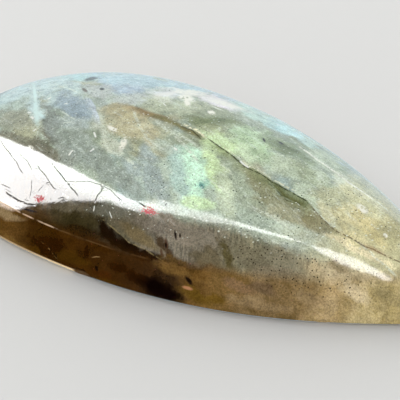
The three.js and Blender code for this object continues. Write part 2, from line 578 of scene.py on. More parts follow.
def lay_view():
    """Stores where the photograph shows each vertex, in its pixels, and how far it faces the camera."""
    right, up, back, eye = (np.array(axis) for axis in camera_axes())
    offset = places(stone) - eye
    depth = offset @ -back
    pixels = PHOTO_SIZE / 2 / math.tan(FIELD_OF_VIEW / 2) / depth
    normals = np.empty(len(offset) * 3)
    stone.data.vertex_normals.foreach_get("vector", normals)
    facing = -np.sum(normals.reshape(-1, 3) * offset, axis=1) / np.linalg.norm(offset, axis=1)
    store("across", PHOTO_SIZE / 2 + offset @ right * pixels)
    store("down", PHOTO_SIZE / 2 - offset @ up * pixels)
    store("facing", facing)


lay_view()
ROUTE_LENGTHS = {
    name: lay_route(name, [on_stone(*pixel) for pixel in route])
    for name, route in ROUTES.items()
}
for far_name, far_route in FAR_ROUTES.items():
    ROUTE_LENGTHS[far_name] = lay_route(far_name, [from_above(*point) for point in far_route])
for line_group, group_lines in LINES.items():
    lay_lines(line_group, group_lines)


# Shading
def shade(red, green, blue):
    """A colour as it looks on a screen, from 0 to 255, as the shader's linear values."""
    def linear(value):
        value /= 255
        return value / 12.92 if value <= 0.04045 else ((value + 0.055) / 1.055) ** 2.4
    return (linear(red), linear(green), linear(blue), 1)


# How bright white paint on the stone would look in this studio, where 1 is a white screen
STUDIO_LIGHT = 1.33


def seen(red, green, blue):
    """The colour that the stone needs, to look like this one in the light of the studio."""
    return tuple(value / STUDIO_LIGHT for value in shade(red, green, blue)[:3]) + (1,)


class Finish:
    """Adds nodes to a material or a world and joins them, so that a finish reads as a list of steps."""

    def __init__(self, owner, shader="Principled BSDF"):
        owner.use_nodes = True
        self.owner = owner
        self.tree = owner.node_tree
        self.shader = self.tree.nodes[shader]

    def feed(self, socket, value):
        if isinstance(value, bpy.types.NodeSocket):
            self.tree.links.new(value, socket)
        else:
            socket.default_value = value

    def add(self, kind, inputs, output=0, **settings):
        node = self.tree.nodes.new(kind)
        for name, value in settings.items():
            setattr(node, name, value)
        for socket, value in inputs.items():
            self.feed(node.inputs[socket], value)
        return node.outputs[output]

    def math(self, operation, first, second=0.0):
        return self.add("ShaderNodeMath", {0: first, 1: second}, operation=operation)

    def times(self, *factors):
        product = factors[0]
        for factor in factors[1:]:
            product = self.math("MULTIPLY", product, factor)
        return product

    # Cycles draws a shader black when it has too many unfinished values, and a clamp on every step adds
    # them up. A smooth step stays between its ends without one.
    def step(self, value, low, high, start=0.0, end=1.0):
        """A soft step from start, where the value is low, to end, where it is high."""
        inputs = {"Value": value, "From Min": low, "From Max": high, "To Min": start, "To Max": end}
        return self.add("ShaderNodeMapRange", inputs, interpolation_type="SMOOTHSTEP", clamp=False)

    def mix(self, amount, under, over, blend="MIX"):
        inputs = {0: amount, 6: under, 7: over}
        return self.add("ShaderNodeMix", inputs, output=2, data_type="RGBA", blend_type=blend)

    def tone(self, colour, amount, dark, light):
        """Multiplies a colour by the dark factors, where the amount is low, up to the light ones."""
        factors = self.mix(amount, dark + (1,), light + (1,))
        return self.mix(1, colour, factors, blend="MULTIPLY")

    def noise(self, place, scale, detail=3, roughness=0.55, distortion=0.0):
        inputs = {"Vector": place, "Scale": scale, "Detail": detail, "Roughness": roughness,
                  "Distortion": distortion}
        return self.add("ShaderNodeTexNoise", inputs)

    def turned(self, place, centre, turn, size):
        """A place measured from a centre, along turned axes, in units of the size."""
        inputs = {"Vector": place, "Location": centre, "Rotation": turn, "Scale": size}
        return self.add("ShaderNodeMapping", inputs, vector_type="TEXTURE")

    def stored(self, name):
        return self.add("ShaderNodeAttribute", {}, output=2, attribute_name=name)

    def moved(self, place, offset):
        return self.turned(place, offset, (0, 0, 0), (1, 1, 1))

    def share_along(self, place, start, direction, length):
        """How far a place lies along a direction: 0 at the start, and 1 past the length."""
        local = self.turned(place, start, turn_towards(Vector(direction)), (length, 1, 1))
        return self.add("ShaderNodeTexGradient", {0: local}, output=1, gradient_type="LINEAR")


def turn_towards(direction):
    """The turn that brings the X axis to a direction."""
    direction = direction.normalized()
    return (0, -math.asin(direction.z), math.atan2(direction.y, direction.x))


def stone_finish():
    """The finish with the stone's own coordinates in millimetres, and the noises that its marks share."""
    finish = Finish(bpy.data.materials.new("labradorite"))
    metres = finish.add("ShaderNodeTexCoord", {}, output=3)
    finish.place = finish.turned(metres, (0, 0, 0), (0, 0, 0), (MM, MM, MM))
    half, tall = LENGTH / 2 / MM, HEIGHT / MM
    finish.height = finish.times(finish.share_along(finish.place, (0, 0, 0), (0, 0, 1), tall), tall)
    lengthwise = finish.share_along(finish.place, (-half, 0, 0), (1, 0, 0), 2 * half)
    finish.along = finish.math("SUBTRACT", finish.times(lengthwise, 2 * half), half)
    finish.wander = finish.math("SUBTRACT", finish.noise(finish.place, 1.1, detail=2), 0.5)
    finish.grain = finish.noise(finish.place, 10, detail=2, roughness=0.7)
    finish.mottle = finish.noise(finish.place, 1.3, detail=5, roughness=0.62)
    finish.crumbs = finish.noise(finish.place, 4, detail=2)
    broad = finish.math("SUBTRACT", finish.noise(finish.place, 0.8, detail=6, roughness=0.68), 0.5)
    finish.ragged = finish.times(broad, 3.4 * RAGGED_REACH)
    pixels = [finish.stored(name) for name in ("across", "down")]
    finish.exact = finish.add("ShaderNodeCombineXYZ", {0: pixels[0], 1: pixels[1]})
    drifted = [
        finish.math("ADD", pixel, finish.times(drift, CLOUD_DRIFT))
        for pixel, drift in zip(pixels, (finish.wander, broad))
    ]
    finish.view = finish.add("ShaderNodeCombineXYZ", {0: drifted[0], 1: drifted[1]})
    finish.near = finish.step(finish.stored("facing"), -0.3, -0.05)
    return finish


# How far the clouds' edges run in and out, as a share of their width, and wander, in pixels
RAGGED_REACH = 0.25
CLOUD_DRIFT = 16
finish = stone_finish()


def spot(x, y, end_x, end_y, width, soft=0.4, view=None):
    """How much of a long spot, from one pixel to another, covers a place: half of it at its width."""
    start, end = Vector((x, y, 0)), Vector((end_x, end_y, 0))
    along = end - start
    turn = turn_towards(along) if along.length else (0, 0, 0)
    held = (1 - RAGGED_REACH) / (1 + soft)
    reach = Vector((along.length / 2 + width, width, width)) / held
    local = finish.turned(view or finish.view, (start + end) / 2, turn, reach)
    nearness = finish.add("ShaderNodeTexGradient", {0: local}, output=1, gradient_type="SPHERICAL")
    nearness = finish.math("ADD", nearness, finish.ragged)
    return finish.step(nearness, RAGGED_REACH, 1 - (1 - soft) * held)


def spots_cover(spots, **shape):
    cover = None
    for place in spots:
        covered = spot(*place, **shape)
        cover = covered if cover is None else finish.math("MAXIMUM", cover, covered)
    return cover


def tinted(colour, tint, *covers):
    """Blends a tint in, as far as its covers multiplied say."""
    return finish.mix(finish.times(*covers), colour, seen(*tint))


def cloud(colour, tint, strength, spots, crumbly=False, **shape):
    """Blends a tint in along spots: each from one pixel of the photograph to another, and half its width."""
    cover = spots_cover(spots, **shape)
    if crumbly:
        cover = finish.times(cover, finish.step(finish.crumbs, 0.4, 0.5))
    return tinted(colour, tint, cover, strength)


def clouds(colour, group):
    """Lays a group of clouds over a colour, on the side that the photograph shows."""
    clouded = colour
    for tint, strength, spots in group.values():
        clouded = cloud(clouded, tint, strength, spots)
    return finish.mix(finish.near, colour, clouded)


def lengthwise(stops):
    """Colours that follow each other from the round end to the tip, each purest at its pixel."""
    uneven = finish.math("ADD", finish.along, finish.times(finish.ragged, 2.2))
    colour = seen(*stops[0][1])
    for (pixel, _), (next_pixel, tint) in zip(stops, stops[1:]):
        start, end = (on_stone(*place)[0].x / MM for place in (pixel, next_pixel))
        colour = tinted(colour, tint, finish.step(uneven, start, end))
    return colour


def band(route, above, below, offset=0.0, wander=0.1, fade=1.5, breaks=0.0):
    """How much of a band beside a route covers a place: its widths on both sides are in millimetres."""
    along = finish.stored(route + "_along")
    moved = finish.math("ADD", finish.stored(route + "_aside"), finish.times(finish.wander, wander))
    aside = finish.math("SUBTRACT", moved, offset)
    cover = finish.times(finish.step(aside, above, 0), finish.step(aside, -below, 0))
    length = ROUTE_LENGTHS[route]
    fade = min(fade, length / 2)
    cover = finish.times(cover, finish.step(along, 0, fade), finish.step(along, length, length - fade))
    return broken(cover, breaks)


def broken(cover, breaks):
    """Lets a line fail here and there, over about so large a share of it."""
    if not breaks:
        return cover
    limit = 0.38 + 0.24 * breaks
    return finish.times(cover, finish.step(finish.crumbs, limit - 0.04, limit + 0.04))


def streak(colour, tint, strength, route, above, below, **shape):
    return tinted(colour, tint, band(route, above, below, **shape), strength)


def ground_colour():
    """Grey-green feldspar, milky and mottled, all through the stone, and tan towards the tip."""
    broad = finish.noise(finish.place, 0.16, detail=4, distortion=0.5)
    colour = finish.mix(finish.step(broad, 0.36, 0.64), seen(154, 166, 144), seen(186, 200, 182))
    blue = finish.noise(finish.moved(finish.place, (31, 7, 3)), 0.2, detail=4, distortion=0.5)
    colour = tinted(colour, (166, 188, 192), finish.step(blue, 0.52, 0.68, end=0.5))
    tan = finish.noise(finish.moved(finish.place, (5, 43, 11)), 0.23, detail=4, distortion=0.5)
    colour = tinted(colour, (190, 182, 142), finish.step(tan, 0.54, 0.7, end=0.55))
    tipward = finish.math("ADD", finish.along, finish.times(finish.ragged, 4))
    return tinted(colour, (208, 202, 160), finish.step(tipward, 8, 13.5, end=0.85))


# How the colour changes towards the tip, low on the dome and on the girdle: pixels, and the colours there.
# The dark round end low on the dome is partly painted shade, and the pale tan near the tip is partly a
# painted glow of light through the stone.
LOWER_DOME_STOPS = [
    ((38, 222), (72, 52, 24)), ((66, 222), (64, 52, 28)), ((100, 220), (66, 58, 38)),
    ((132, 224), (99, 90, 68)), ((165, 228), (119, 110, 95)), ((200, 238), (122, 112, 94)),
    ((245, 252), (122, 115, 90)), ((285, 258), (138, 131, 107)), ((320, 268), (172, 158, 124)),
    ((350, 288), (202, 186, 150)), ((385, 300), (176, 162, 124)),
]
GIRDLE_STOPS = [
    ((6, 230), (98, 70, 32)), ((36, 244), (60, 36, 5)), ((62, 252), (58, 33, 4)),
    ((100, 266), (62, 36, 5)), ((136, 276), (58, 33, 5)), ((168, 286), (46, 28, 8)),
    ((192, 284), (104, 76, 34)), ((220, 292), (118, 92, 50)), ((260, 300), (128, 106, 72)),
    ((296, 304), (130, 108, 72)), ((332, 302), (174, 152, 112)), ((372, 306), (184, 168, 124)),
]


def lower_dome(colour):
    """The dome below the highlight: dark olive at the round end, mauve grey, and then tan. Its darkness is
    partly painted shade, and its tan near the tip partly a painted glow.
    """
    border = finish.step(finish.along, 5.5, 15, 4.15, 2.75)
    lift = finish.math("SUBTRACT", finish.height, border)
    lift = finish.math("ADD", lift, finish.times(finish.ragged, 0.5))
    tints = lengthwise(LOWER_DOME_STOPS)
    upright = finish.turned(finish.exact, (0, 0, 0), (0, 0, 0.1), (2.6, 15, 1))
    upright = finish.noise(upright, 1, detail=2)
    tints = finish.tone(tints, finish.step(upright, 0.34, 0.66), (0.68, 0.68, 0.68), (1.34, 1.34, 1.34))
    return finish.mix(finish.times(finish.step(lift, 0.4, -0.25), 0.95), colour, tints)


def girdle(colour):
    """The wall under the crease: dark amber at the round end, gold, and then pale tan, partly a painted glow
    near the tip.
    """
    lift = finish.math("ADD", finish.height, finish.times(finish.ragged, 0.6))
    tints = lengthwise(GIRDLE_STOPS)
    honey = finish.noise(finish.place, 0.8, detail=5, roughness=0.65, distortion=0.8)
    tints = finish.tone(tints, finish.step(honey, 0.34, 0.66), (0.8, 0.76, 0.6), (1.2, 1.2, 1.2))
    return finish.mix(finish.times(finish.step(lift, 2.75, 2.05), 0.97), colour, tints)


# Clouds: the colour that the photograph shows, its strength, and its spots. Each spot runs from one pixel
# of the photograph to another, and ends with half its width.
DOME_CLOUDS = {
    "green_at_the_left": ((178, 194, 180), 0.9, [(0, 102, 26, 100, 12)]),
    "tan_at_the_left": ((164, 167, 147), 0.9, [(0, 119, 26, 120, 9)]),
    "brown_over_the_highlight": ((138, 138, 120), 0.95, [(0, 134, 22, 141, 7), (22, 144, 36, 150, 6)]),
    "darkest_brown": ((124, 122, 104), 0.95, [(36, 145, 58, 158, 8), (46, 134, 56, 140, 6)]),
    "grey_by_the_streak": ((134, 142, 135), 0.9, [(48, 114, 54, 134, 8)]),
    "pale_blue": ((196, 216, 214), 0.88, [(32, 88, 36, 116, 7), (46, 90, 60, 100, 9), (64, 84, 78, 90, 7)]),
    "blue_grey_oval": ((154, 171, 178), 0.95, [(67, 103, 84, 112, 12)]),
    "under_the_oval": ((176, 188, 183), 0.85, [(62, 122, 92, 125, 6)]),
    "sage_grey": ((158, 169, 158), 0.9, [
        (68, 138, 94, 158, 15), (98, 160, 112, 176, 11), (114, 170, 134, 188, 9), (99, 97, 104, 106, 7),
    ]),
    "darker_sage": ((147, 155, 144), 0.85, [(62, 148, 72, 164, 7)]),
    "steel_grey": ((172, 186, 181), 0.9, [
        (126, 162, 138, 172, 6), (146, 178, 151, 190, 6), (148, 164, 164, 196, 9), (146, 150, 153, 158, 7),
    ]),
    "pale_gap": ((199, 205, 185), 0.9, [(98, 118, 106, 132, 8), (108, 142, 120, 148, 8)]),
    "tan": ((183, 175, 137), 0.95, [(112, 110, 142, 114, 9)]),
    "pale_tan": ((197, 192, 158), 0.95, [(114, 124, 138, 132, 9), (144, 128, 151, 138, 8)]),
    "lavender": ((180, 199, 214), 0.9, [(110, 86, 142, 88, 8)]),
    "crown_grey": ((190, 197, 191), 0.85, [(92, 90, 106, 92, 7), (114, 98, 150, 98, 6)]),
    "crown_sage": ((182, 190, 162), 0.95, [(148, 104, 170, 106, 7), (170, 106, 204, 108, 8)]),
    "crown_cream": ((216, 221, 200), 0.85, [(156, 97, 170, 99, 4)]),
    "olive_under_the_crown": ((136, 145, 110), 0.95, [(194, 121, 232, 122, 9)]),
    "paler_olive": ((155, 164, 137), 0.85, [
        (204, 113, 234, 114, 6), (224, 131, 238, 131, 5), (178, 137, 200, 142, 6),
    ]),
    "yellow_green": ((176, 184, 146), 0.85, [(198, 131, 218, 134, 6)]),
    "sage_by_the_vein": ((185, 198, 182), 0.85, [(160, 144, 172, 152, 6)]),
    "pale_flash": ((190, 216, 204), 0.95, [(179, 158, 184, 194, 10)]),
    "mint_flash": ((210, 246, 218), 0.95, [(190, 156, 200, 174, 12), (194, 172, 198, 200, 9)]),
    "lime_flash": ((210, 233, 182), 0.93, [(212, 143, 236, 146, 10), (211, 156, 224, 190, 9)]),
    "lime_by_the_highlight": ((224, 250, 200), 0.9, [(188, 201, 206, 204, 7)]),
    "halo_of_the_teal_spot": ((184, 226, 204), 0.8, [(197, 185, 204, 184, 4)]),
    "teal_spot": ((104, 156, 150), 0.9, [(201, 185, 203, 187, 2.2)]),
    "green_on_the_right": ((186, 210, 172), 0.95, [(240, 135, 264, 142, 10), (254, 146, 268, 158, 9)]),
    "lime_on_the_cleavage": ((206, 225, 190), 0.9, [(242, 151, 250, 158, 7)]),
    "sage_band": ((138, 153, 120), 0.95, [
        (270, 141, 298, 152, 8), (300, 154, 314, 161, 7), (304, 148, 326, 158, 6), (326, 160, 346, 172, 4),
    ]),
    "milky_sage": ((194, 207, 182), 0.93, [
        (272, 161, 304, 175, 9), (318, 156, 332, 166, 8), (316, 172, 332, 192, 9), (298, 186, 312, 200, 8),
    ]),
    "grey_sage": ((170, 182, 154), 0.85, [(300, 168, 312, 180, 7)]),
    "milky_rim": ((211, 219, 194), 0.85, [(336, 177, 346, 184, 7)]),
    "green_tan": ((196, 199, 166), 0.9, [(322, 194, 346, 198, 9), (340, 205, 360, 206, 8)]),
    "cream_tan": ((218, 218, 180), 0.9, [(350, 188, 362, 196, 8), (366, 202, 378, 212, 10)]),
    "olive_rim": ((187, 190, 156), 0.85, [(352, 178, 382, 196, 6)]),
    "tan_right": ((224, 216, 170), 0.95, [(350, 215, 366, 222, 10), (344, 234, 362, 243, 9)]),
    "ochre": ((214, 204, 154), 0.95, [(366, 222, 386, 240, 11)]),
    "tan_at_the_tip": ((192, 188, 148), 0.9, [(388, 226, 400, 250, 10), (388, 204, 400, 226, 9)]),
    "pale_fan": ((204, 216, 188), 0.9, [(224, 178, 230, 198, 8), (222, 200, 230, 212, 7)]),
    "grey_under_the_cleavage": ((174, 186, 162), 0.95, [(238, 174, 248, 194, 9), (240, 197, 258, 204, 8)]),
    "brown_under_the_wedge": ((149, 150, 119), 0.95, [
        (254, 178, 268, 194, 9), (264, 198, 284, 204, 8), (282, 204, 302, 213, 8),
    ]),
    "lower_tan": ((168, 168, 138), 0.9, [(268, 212, 312, 221, 7)]),
    "shadow_under_the_cleavage": ((142, 136, 100), 0.8, [(300, 220, 332, 230, 7), (308, 212, 336, 230, 5)]),
    "pale_right_of_the_shadow": ((207, 204, 167), 0.85, [(322, 209, 332, 219, 6)]),
    "dull_tan": ((188, 182, 142), 0.8, [(336, 212, 346, 228, 5)]),
}
# Along the skyline: partly the stone's own blue sheen, and partly a painted reflection of bright sky at the
# grazing edge
SKYLINE_CLOUDS_WITH_PAINTED_REFLECTION = {
    "pale_cyan": ((200, 222, 220), 0.95, [(0, 102, 32, 85, 6), (32, 85, 66, 78, 6)]),
    "cyan": ((185, 224, 226), 0.95, [(70, 75, 100, 74, 6), (268, 120, 286, 129, 6)]),
    "blue": ((185, 212, 221), 0.95, [(100, 77, 142, 79, 7), (160, 82, 204, 91, 5), (132, 76, 158, 84, 6)]),
    "pearl": ((226, 233, 234), 0.9, [(156, 92, 184, 94, 4)]),
    "rose_pearl": ((236, 230, 236), 0.95, [(206, 98, 234, 107, 5)]),
    "grey_blue": ((186, 198, 206), 0.9, [(216, 94, 236, 101, 3)]),
    "sea_green": ((191, 218, 206), 0.93, [(238, 106, 268, 119, 6), (300, 138, 316, 147, 4)]),
    "bright_sky": ((200, 240, 240), 0.9, [(284, 127, 300, 136, 4)]),
    "sage": ((178, 192, 164), 0.85, [(320, 151, 340, 165, 5)]),
}
# Clouds low on the dome; their darkness at the round end is partly painted shade
LOWER_CLOUDS = {
    "tan_at_the_round_end": ((146, 124, 90), 0.9, [(0, 212, 14, 218, 6)]),
    # Painted highlight: the mirrored light fading pink below the crease
    "painted_highlight_at_the_round_end": ((226, 204, 186), 0.9, [(0, 203, 14, 206, 5)]),
    "brown_by_the_pits": ((76, 56, 30), 0.9, [(22, 210, 48, 217, 6)]),
    "olive_grey": ((98, 90, 70), 0.85, [(56, 207, 88, 207, 5), (116, 222, 140, 228, 8)]),
    "grey_olive": ((104, 102, 88), 0.85, [(96, 209, 124, 213, 6)]),
    "dark_olive": ((56, 48, 24), 0.9, [
        (64, 220, 92, 224, 9), (46, 224, 60, 230, 7), (58, 214, 86, 218, 5), (48, 224, 66, 232, 6),
    ]),
    "mauve": ((121, 112, 98), 0.9, [(142, 220, 168, 228, 8)]),
    "pale_mauve": ((138, 128, 112), 0.9, [(176, 232, 190, 240, 7), (160, 216, 172, 222, 5)]),
    "tan_over_the_wedge": ((114, 100, 70), 0.9, [(126, 228, 154, 246, 6)]),
    "brown_left_of_the_wedge": ((42, 28, 8), 0.92, [(72, 230, 100, 236, 7), (90, 240, 108, 248, 5)]),
    "dark_wedge": ((24, 11, 2), 0.97, [
        (103, 226, 113, 240, 6), (108, 238, 128, 249, 6), (118, 247, 156, 260, 5),
    ]),
    "dark_streak": ((62, 43, 20), 0.85, [(160, 238, 170, 256, 4)]),
    "brown_right_of_the_wedge": ((98, 74, 34), 0.9, [(166, 262, 184, 268, 6)]),
    "grey_mauve": ((128, 120, 104), 0.9, [(190, 234, 216, 242, 8)]),
    "olive_patch": ((88, 79, 46), 0.9, [(222, 244, 232, 266, 5)]),
    "brown_grey": ((98, 88, 64), 0.85, [(196, 256, 216, 264, 7), (208, 246, 216, 256, 5)]),
    "speckled_grey": ((121, 114, 91), 0.9, [(242, 252, 268, 268, 11)]),
    "speckled_tan": ((134, 128, 105), 0.9, [(274, 254, 296, 266, 10)]),
    "grey_low": ((128, 117, 94), 0.85, [(256, 274, 300, 276, 7)]),
    "brown_low": ((90, 68, 40), 0.85, [(206, 270, 234, 276, 5)]),
    "rusty": ((134, 102, 64), 0.85, [(188, 272, 206, 277, 5)]),
    "tan_low": ((186, 170, 134), 0.9, [(312, 268, 326, 276, 7)]),
    "shadow_under_the_lens": ((152, 137, 104), 0.9, [(334, 264, 348, 270, 5)]),
    # Pale tan, partly a painted glow of light through the stone
    "pale_tan_and_painted_glow_low": ((203, 187, 150), 0.9, [(334, 276, 350, 288, 8), (352, 290, 362, 294, 6)]),
    "dull_low": ((173, 158, 124), 0.85, [(354, 276, 376, 282, 5), (382, 282, 398, 292, 7)]),
    # Painted reflection: a fainter band of mirrored light above the lens highlight
    "painted_reflection_over_the_lens": ((238, 228, 188), 0.95, [(334, 237, 390, 265, 4)]),
}
GIRDLE_CLOUDS = {
    # Painted highlight: the mirrored light fading pink below the crease
    "painted_highlight_fringe": ((240, 218, 198), 0.95, [(0, 203, 10, 207, 4)]),
    "tan_fringe": ((150, 128, 92), 0.85, [(0, 212, 18, 218, 4), (304, 298, 318, 302, 6)]),
    "gold_brown": ((112, 84, 41), 0.85, [(0, 238, 24, 250, 6), (162, 267, 186, 274, 5)]),
    "dark_amber": ((43, 20, 2), 0.85, [
        (34, 240, 50, 254, 5), (87, 246, 88, 254, 3), (40, 242, 58, 248, 7), (110, 264, 124, 270, 5),
        (132, 274, 142, 280, 6),
    ]),
    "amber": ((72, 47, 8), 0.85, [(60, 256, 90, 262, 5), (92, 280, 112, 284, 5), (30, 250, 40, 256, 4)]),
    "rust": ((66, 34, 5), 0.8, [(96, 272, 110, 276, 4)]),
    "brown_at_the_base": ((140, 118, 84), 0.85, [(234, 300, 290, 309, 5)]),
    "black": ((12, 4, 3), 1.0, [(146, 283, 176, 296, 9)]),
    "gold": ((100, 76, 24), 0.9, [(190, 290, 206, 300, 7), (208, 298, 222, 300, 5)]),
    "tan": ((126, 100, 70), 0.85, [(232, 284, 250, 290, 6)]),
    "brown": ((107, 87, 62), 0.85, [(256, 286, 272, 292, 5)]),
    # Pale tan, partly a painted glow of light through the stone
    "cream_tan": ((208, 191, 154), 0.85, [(350, 288, 362, 298, 7)]),
    "dull": ((164, 149, 106), 0.85, [(382, 292, 400, 302, 8)]),
}
# The way that the fine fibres run, from one pixel to another
FIBRE_COURSE = ((134, 111), (191, 151))


def veils(colour):
    """Wispy white sheets and fine parallel fibres along the cleavage."""
    start, end = (on_stone(*pixel)[0] for pixel in FIBRE_COURSE)
    stretched = finish.turned(finish.place, (0, 0, 0), turn_towards(end - start), (2.2, 0.24, 0.5))
    thread = finish.noise(stretched, 1, detail=4, roughness=0.65, distortion=0.4)
    high = finish.step(finish.height, 3.2, 4.8)
    colour = tinted(colour, (226, 236, 228), finish.step(thread, 0.52, 0.74), 0.3, high)
    colour = tinted(colour, (104, 112, 90), finish.step(thread, 0.46, 0.26), 0.24, high)
    wisp = finish.noise(finish.place, 0.9, detail=7, roughness=0.74, distortion=1.4)
    colour = tinted(colour, (228, 238, 228), finish.step(wisp, 0.54, 0.76), 0.45, high)
    return tinted(colour, (104, 112, 92), finish.step(wisp, 0.44, 0.26), 0.35, high)


def cleavages(colour):
    """The long lines where the crystal parts inside: brown and olive, each with a pale upper edge."""
    colour = streak(colour, (120, 132, 92), 0.92, "olive_band", 0.75, 0.65, wander=0.6, fade=1.8)
    colour = streak(colour, (150, 126, 82), 0.95, "brown_vein", 0.4, 0.6, wander=0.3, fade=2.5)
    colour = streak(colour, (122, 116, 70), 0.95, "lower_limb", 0.45, 0.42, wander=0.3, fade=1.5)
    colour = streak(colour, (64, 60, 34), 0.85, "vein_crack", 0.1, 0.1, offset=-0.26, wander=0.2, fade=0.6)
    colour = streak(colour, (250, 244, 208), 0.95, "vein_crack", 0.2, 0.16, wander=0.4, fade=0.6, breaks=0.42)
    colour = streak(colour, (134, 144, 100), 0.75, "cleavage_olive", 0.1, 1.1, wander=0.3)
    colour = streak(colour, (98, 102, 58), 0.9, "cleavage_branch", 0.6, 0.12, fade=0.9)
    colour = streak(colour, (48, 52, 28), 0.95, "cleavage", 0.06, 0.12, wander=0.16, fade=0.5, breaks=0.15)
    pale_edge = {"offset": 0.17, "wander": 0.2, "breaks": 0.5}
    colour = streak(colour, (236, 236, 204), 0.75, "cleavage", 0.12, 0.08, **pale_edge)
    colour = streak(colour, (96, 80, 50), 0.85, "cleavage_end", 0.06, 0.1, wander=0.16, fade=0.6, breaks=0.2)
    colour = streak(colour, (70, 70, 40), 0.8, "wedge_edge", 0.07, 0.07, wander=0.1, breaks=0.3)
    colour = streak(colour, (214, 226, 196), 0.75, "upper_seam", 0.09, 0.12)
    colour = streak(colour, (98, 110, 76), 0.9, "upper_crack", 0.5, 0.6, wander=0.5, fade=1.6)
    colour = streak(colour, (246, 248, 230), 0.95, "upper_line", 0.24, 0.22, wander=0.2, fade=0.8, breaks=0.1)
    colour = streak(colour, (228, 234, 214), 0.8, "crown_line", 0.2, 0.2)
    return colour


def lower_cleavages(colour):
    """The slanting cleavage in the dark lower dome, with the near-black wedge under it."""
    colour = streak(colour, (26, 13, 4), 0.95, "lower_cleavage", 0.08, 0.9, wander=0.3, fade=3.3)
    colour = streak(colour, (150, 134, 92), 0.7, "lower_cleavage", 0.07, 0.05, offset=0.06, breaks=0.4)
    # Painted shadow: a dark band on one side of the pale hairline on the girdle
    colour = streak(colour, (20, 10, 4), 0.8, "girdle_hairline", 0.3, 0.1, wander=0.2, breaks=0.5)
    colour = streak(colour, (150, 118, 70), 0.7, "girdle_hairline", 0.04, 0.04, breaks=0.5)
    colour = streak(colour, (180, 146, 100), 0.7, "girdle_dash", 0.045, 0.045, fade=0.2)
    return colour


def line_cover(group, fade, wander, breaks):
    """How much of the lines of a group covers a place, with broken edges."""
    aside = finish.math("ADD", finish.stored(group + "_aside"), finish.times(finish.wander, wander))
    share = finish.math("DIVIDE", finish.math("ABSOLUTE", aside), finish.stored(group + "_width"))
    cover = finish.times(finish.step(share, 1, 0.2), finish.step(finish.stored(group + "_from_end"), 0, fade))
    # Halfway between two lines, the distance aside changes its sign and passes through nothing
    beside_a_line = finish.step(finish.stored(group + "_gap"), 0.21, 0.15)
    return broken(finish.times(cover, beside_a_line), breaks)


def fibres(colour):
    """Pale threads that fan out from the brown vein, and the pale rim of the blue-grey oval."""
    colour = streak(colour, (200, 212, 222), 0.8, "oval_edge", 0.12, 0.5, wander=0.3, fade=1.2)
    threads = line_cover("pale_thread", 0.6, 0.25, 0.2)
    return tinted(colour, (222, 230, 212), threads, 0.58)


def far_side(colour):
    """Lines of the same kind on the side away from the camera."""
    colour = streak(colour, (134, 140, 98), 0.75, "far_cleavage", 0.1, 0.9, wander=0.4)
    colour = streak(colour, (66, 66, 36), 0.9, "far_cleavage", 0.07, 0.1, wander=0.2, breaks=0.4)
    pale_edge = {"offset": 0.16, "wander": 0.2, "breaks": 0.5}
    colour = streak(colour, (228, 230, 206), 0.7, "far_cleavage", 0.1, 0.1, **pale_edge)
    colour = streak(colour, (142, 120, 78), 0.7, "far_seam", 0.3, 0.5, wander=0.4)
    return streak(colour, (206, 220, 222), 0.6, "far_thread", 0.2, 0.3, wander=0.3)


def flecks(place, scale, size, rarity):
    """Small uneven dots, up to so large a share of their cell, and fewer where the rarity is high."""
    inputs = {"Vector": place, "Scale": scale}
    distance = finish.add("ShaderNodeTexVoronoi", inputs)
    chance = finish.add("ShaderNodeTexVoronoi", inputs, output=1)
    chance = finish.add("ShaderNodeSeparateColor", {0: chance})
    reach = finish.step(chance, rarity, rarity + 0.2, 0, size)
    uneven = finish.math("ADD", distance, finish.times(finish.grain, 0.2))
    return finish.step(finish.math("SUBTRACT", uneven, reach), 0.06, -0.06)


# Where the black grains are densest, as a spot
GRAINY_SPOT = (240, 256, 350, 284, 24)


def specks(colour):
    """Black grains, densest low on the dome, and short white flecks high on it."""
    dense = spot(*GRAINY_SPOT)
    grains = flecks(finish.moved(finish.place, (3, 1, 2)), 5.8, 0.34, 0.3)
    colour = tinted(colour, (40, 32, 20), grains, dense, 0.9)
    high = finish.step(finish.height, 3, 4)
    patchy = finish.step(finish.noise(finish.place, 0.4, detail=2), 0.34, 0.5)
    scattered = flecks(finish.moved(finish.place, (17, 5, 9)), 5.4, 0.32, 0.66)
    colour = tinted(colour, (46, 52, 44), scattered, patchy, high, 0.9)
    slanting = finish.turned(finish.place, (29, 11, 4), (0, 0, 0.9), (1.3, 0.7, 1))
    pale = flecks(slanting, 4.6, 0.32, 0.6)
    return tinted(colour, (238, 246, 232), pale, high, 0.75)


# Single marks in the stone, as spots
SMOKE = [(86, 80, 95, 78, 1.7), (101, 89, 103, 89, 1.2), (263.5, 139, 264.5, 141, 1),
         (279, 142, 283, 144, 0.8)]
RUSTY_SMOKE = [(83, 89, 86, 91, 1.5), (166, 240, 167, 247, 1.6), (161, 250, 162, 254, 1.2)]
PITS = [(175, 232, 176, 239, 1.1), (180, 234, 180, 237, 0.8), (166, 243, 166, 247, 0.9),
        (187, 278, 191, 283, 2.2), (96, 267, 97, 270, 1.3), (15, 206, 24, 209, 1.2), (24, 209, 36, 212, 1.2)]
PIT_RIM = [(184, 287, 191, 289, 1.6)]
RUSTY_LINE = [(366, 246, 384, 254, 2.4)]
CYAN_STREAK = [(34, 87, 36, 104, 1.5), (35, 103, 37, 120, 2.3), (37, 112, 42, 116, 1.8)]
